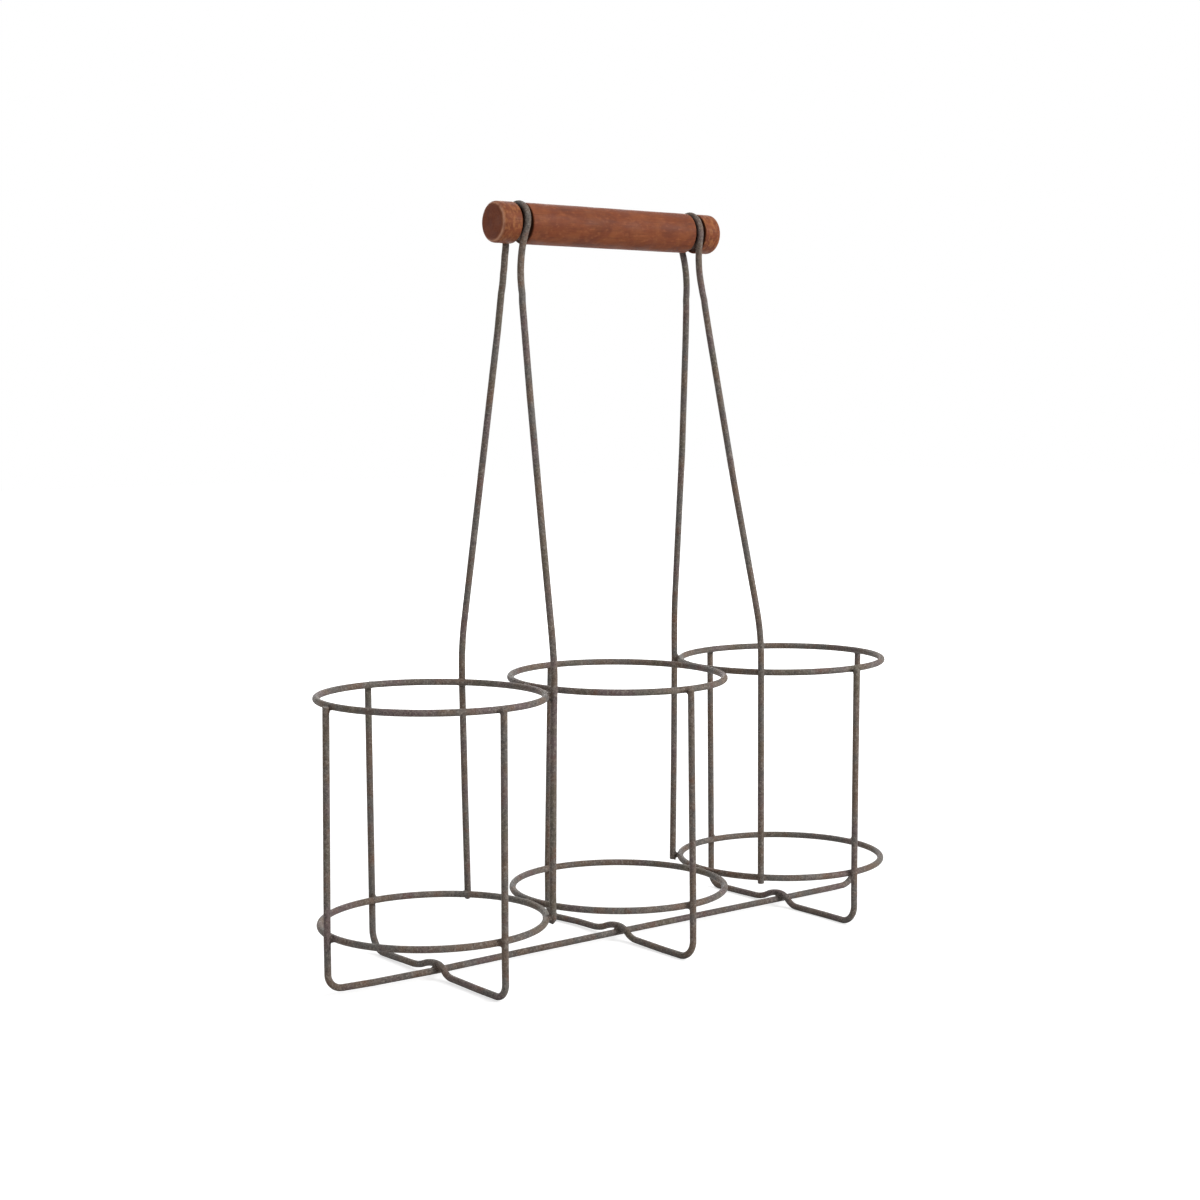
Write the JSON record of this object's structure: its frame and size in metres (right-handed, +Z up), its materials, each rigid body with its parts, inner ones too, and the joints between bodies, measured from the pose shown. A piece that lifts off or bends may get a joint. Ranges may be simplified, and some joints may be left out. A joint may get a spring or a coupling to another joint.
{
  "type": "wine bottle caddy",
  "caption": "Welded wire bottle caddy: a row of round pockets on low wire feet, with two looped end hoops that carry a turning wooden handle.",
  "frame": {"origin": "on the floor below the centre of the middle pocket, which is the bottom centre of the bounding box", "axes": "+X along the row of pockets from the left pocket to the right one, +Y across the row, +Z up"},
  "size_m": [0.338, 0.117, 0.3651],
  "materials": {
    "wire_metal": "matt antique grey-brown with a fine rust speckle",
    "weld_metal": "matt antique grey-brown, a little darker than the wire",
    "stained_wood": "red-brown stain, satin, with darker end grain and grooves"
  },
  "bodies": {
    "frame": {"left_hoop": "wire_metal", "right_hoop": "wire_metal", "base_wire": "wire_metal", "cross_wire_left": "wire_metal", "cross_wire_middle": "wire_metal", "cross_wire_right": "wire_metal", "top_ring_left": "wire_metal", "top_ring_middle": "wire_metal", "top_ring_right": "wire_metal", "bottom_ring_left": "wire_metal", "bottom_ring_middle": "wire_metal", "bottom_ring_right": "wire_metal", "top_ring_welds": "weld_metal", "bottom_ring_welds": "weld_metal", "hoop_top_welds": "weld_metal", "hoop_bottom_welds": "weld_metal", "ring_joint_welds": "weld_metal", "base_welds": "weld_metal"},
    "handle": {"handle": "stained_wood"}
  },
  "joints": [
    {"name": "handle_spin", "type": "hinge", "parent": "frame", "child": "handle", "pos_m": [-0.00595, 0, 0.3545], "axis": [1, 0, 0], "continuous": true}
  ]
}
